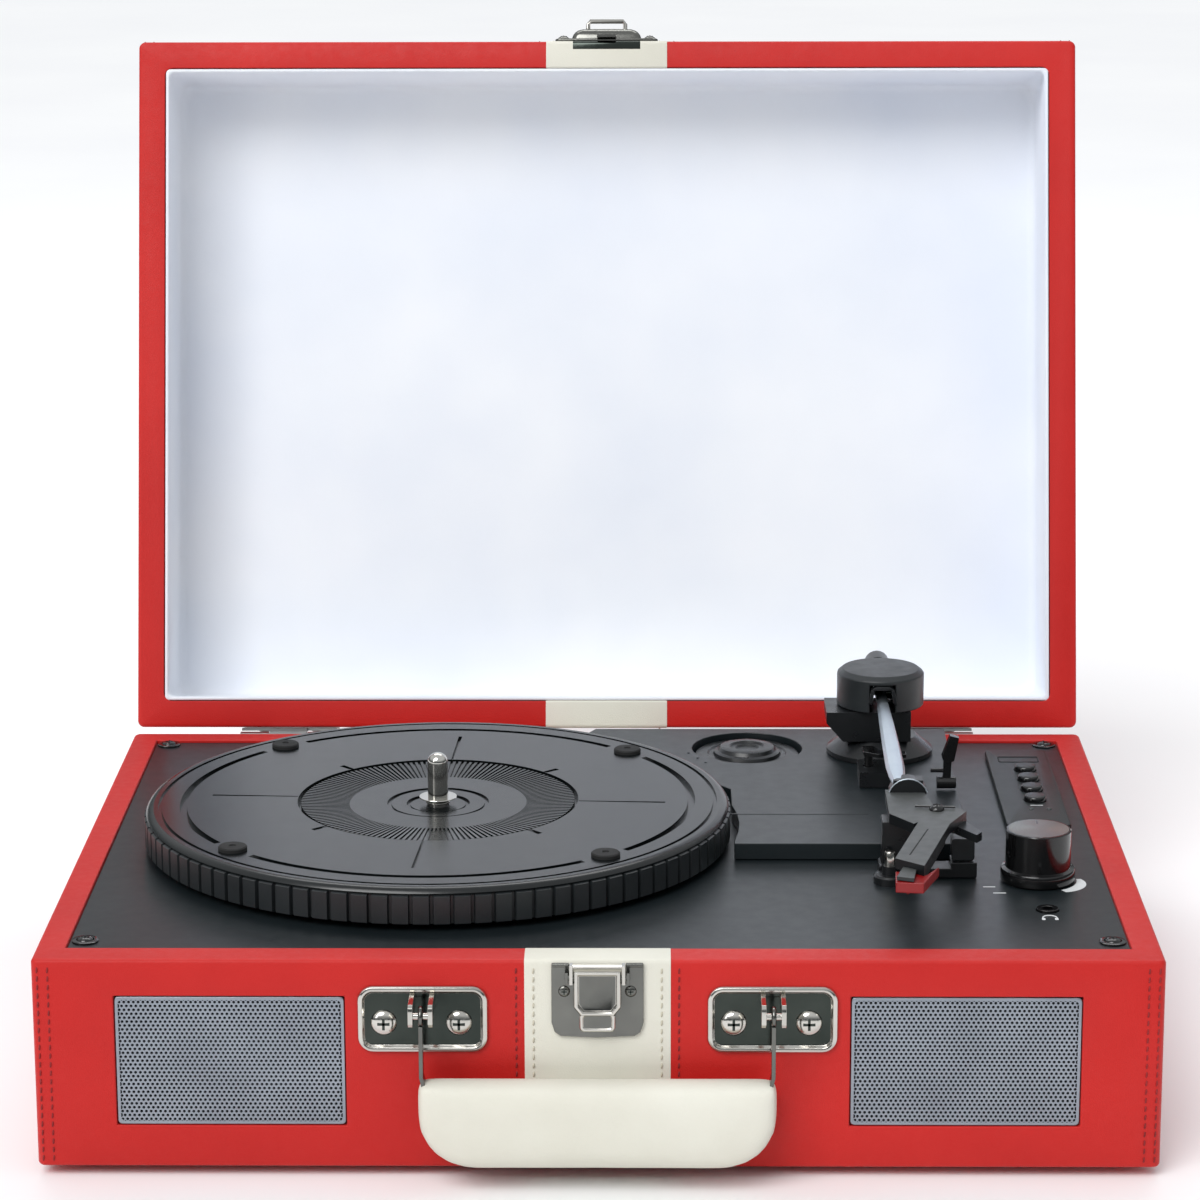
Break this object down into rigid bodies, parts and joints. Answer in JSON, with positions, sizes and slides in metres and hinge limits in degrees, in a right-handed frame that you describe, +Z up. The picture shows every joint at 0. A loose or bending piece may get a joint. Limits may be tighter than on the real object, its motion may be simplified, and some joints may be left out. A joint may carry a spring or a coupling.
{
  "type": "suitcase turntable record player",
  "caption": "Open suitcase record player with red wrapped case, tilting lid, belt-driven ribbed platter, straight tonearm, front grilles, padded handle and latch.",
  "frame": {"origin": "on the ground under the middle of the open player's bounding box; the case stands on its feet", "axes": "+Z up, -Y towards the front with the handle, +X to the right seen from the front"},
  "size_m": [0.355, 0.3921, 0.3311],
  "materials": {
    "red_leather": "red grained leatherette wrapped over board",
    "cream_leather": "cream padded leatherette",
    "liner_white": "white lining",
    "deck_black": "satin charcoal moulded deck",
    "black_plastic": "black moulded plastic",
    "gloss_black": "gloss black plastic",
    "grey_plastic": "grey moulded plastic",
    "red_plastic": "red stylus holder",
    "rubber": "black rubber",
    "chrome": "nickel plated steel",
    "steel": "plain steel",
    "silver_paint": "silver painted tube",
    "grille": "perforated silver sheet",
    "board": "fibreboard",
    "circuit": "green circuit board"
  },
  "bodies": {
    "case": {"base_case": "red_leather", "bottom_panel": "board", "foot_front_left": "rubber", "foot_front_right": "rubber", "foot_rear_left": "rubber", "foot_rear_right": "rubber", "speaker_grille_left": "grille", "speaker_left": "black_plastic", "speaker_grille_right": "grille", "speaker_right": "black_plastic", "rear_jack_panel": "black_plastic", "dc_inlet": "black_plastic", "main_board": "circuit", "deck_plate": "deck_black", "tonearm_platform": "deck_black", "control_panel": "deck_black", "headphone_jack": "gloss_black", "volume_pot": "steel", "platter_bearing": "steel", "spindle": "chrome", "drive_motor": "steel", "drive_belt": "rubber", "tonearm_base": "black_plastic", "arm_rest": "black_plastic", "handle_plate_left": "chrome", "handle_plate_right": "chrome", "latch_plate": "chrome", "hinge_base_leaf_left": "steel", "hinge_base_leaf_right": "steel"},
    "lid": {"lid_shell": "red_leather", "lid_liner": "liner_white", "lid_catch": "chrome", "hinge_lid_leaf_left": "steel", "hinge_lid_leaf_right": "steel"},
    "platter": {"platter": "black_plastic"},
    "pulley": {"motor_pulley": "steel"},
    "turret": {"tonearm_yoke": "black_plastic", "tonearm_cap": "black_plastic", "arm_pivot_pin": "steel"},
    "arm": {"arm_tube": "silver_paint", "counterweight": "black_plastic", "headshell": "grey_plastic", "cartridge": "black_plastic", "stylus": "red_plastic"},
    "cue_lever": {"cue_lever": "gloss_black"},
    "lift_bar": {"lift_bar": "gloss_black"},
    "rest_clip": {"rest_clip": "grey_plastic"},
    "volume_knob": {"volume_knob": "gloss_black"},
    "button_1": {"button_1": "black_plastic"},
    "button_2": {"button_2": "black_plastic"},
    "button_3": {"button_3": "black_plastic"},
    "button_4": {"button_4": "black_plastic"},
    "adapter_45": {"adapter_45": "black_plastic"},
    "handle": {"handle_bail": "chrome", "handle_grip": "cream_leather"},
    "latch_lever": {"latch_lever": "chrome"},
    "latch_loop": {"latch_loop": "steel"}
  },
  "joints": [
    {"name": "lid_hinge", "type": "hinge", "parent": "case", "child": "lid", "pos_m": [0, 0.08562, 0.0694], "axis": [-1, 0, 0], "range_deg": [-104.6, 0]},
    {"name": "platter_spin", "type": "hinge", "parent": "case", "child": "platter", "pos_m": [-0.0563, -0.04824, 0.0783], "axis": [0, 0, -1], "continuous": true},
    {"name": "pulley_spin", "type": "hinge", "parent": "case", "child": "pulley", "pos_m": [-0.11428, 0.00974, 0.0783], "axis": [0, 0, -1], "continuous": true},
    {"name": "arm_swing", "type": "hinge", "parent": "case", "child": "turret", "pos_m": [0.1002, 0.03976, 0.0998], "axis": [0, 0, -1], "range_deg": [0, 44]},
    {"name": "arm_lift", "type": "hinge", "parent": "turret", "child": "arm", "pos_m": [0.1002, 0.03976, 0.0998], "axis": [-1, 0, 0], "range_deg": [0, 10]},
    {"name": "cue_lever_tilt", "type": "hinge", "parent": "case", "child": "cue_lever", "pos_m": [0.121, -0.00824, 0.0799], "axis": [-1, 0, 0], "range_deg": [0, 35]},
    {"name": "lift_bar_rise", "type": "slide", "parent": "case", "child": "lift_bar", "axis": [0, 0, 1], "range_m": [0, 0.004]},
    {"name": "rest_clip_fold", "type": "hinge", "parent": "case", "child": "rest_clip", "pos_m": [0.124, -0.08774, 0.0785], "axis": [0, 1, 0], "range_deg": [0, 90]},
    {"name": "volume_turn", "type": "hinge", "parent": "case", "child": "volume_knob", "pos_m": [0.1453, -0.09324, 0.0813], "axis": [0, 0, -1], "range_deg": [0, 300]},
    {"name": "button_1_press", "type": "slide", "parent": "case", "child": "button_1", "axis": [0, 0, -1], "range_m": [0, 0.0012], "stiffness_N_per_m": 300},
    {"name": "button_2_press", "type": "slide", "parent": "case", "child": "button_2", "axis": [0, 0, -1], "range_m": [0, 0.0012], "stiffness_N_per_m": 300},
    {"name": "button_3_press", "type": "slide", "parent": "case", "child": "button_3", "axis": [0, 0, -1], "range_m": [0, 0.0012], "stiffness_N_per_m": 300},
    {"name": "button_4_press", "type": "slide", "parent": "case", "child": "button_4", "axis": [0, 0, -1], "range_m": [0, 0.0012], "stiffness_N_per_m": 300},
    {"name": "adapter_lift_out", "type": "slide", "parent": "case", "child": "adapter_45", "axis": [0, 0, 1], "range_m": [0, 0.02]},
    {"name": "handle_swing", "type": "hinge", "parent": "case", "child": "handle", "pos_m": [0, -0.18924, 0.0578], "axis": [-1, 0, 0], "range_deg": [0, 165]},
    {"name": "latch_lever_flip", "type": "hinge", "parent": "case", "child": "latch_lever", "pos_m": [0, -0.18144, 0.0678], "axis": [-1, 0, 0], "range_deg": [0, 100]},
    {"name": "latch_loop_tilt", "type": "hinge", "parent": "case", "child": "latch_loop", "pos_m": [0, -0.18144, 0.0678], "axis": [1, 0, 0], "range_deg": [0, 15]}
  ],
  "couplings": [
    {"joint": "pulley_spin", "follows": "platter_spin", "ratio": 14},
    {"joint": "lift_bar_rise", "follows": "cue_lever_tilt", "m_per_rad": 0.0065}
  ]
}
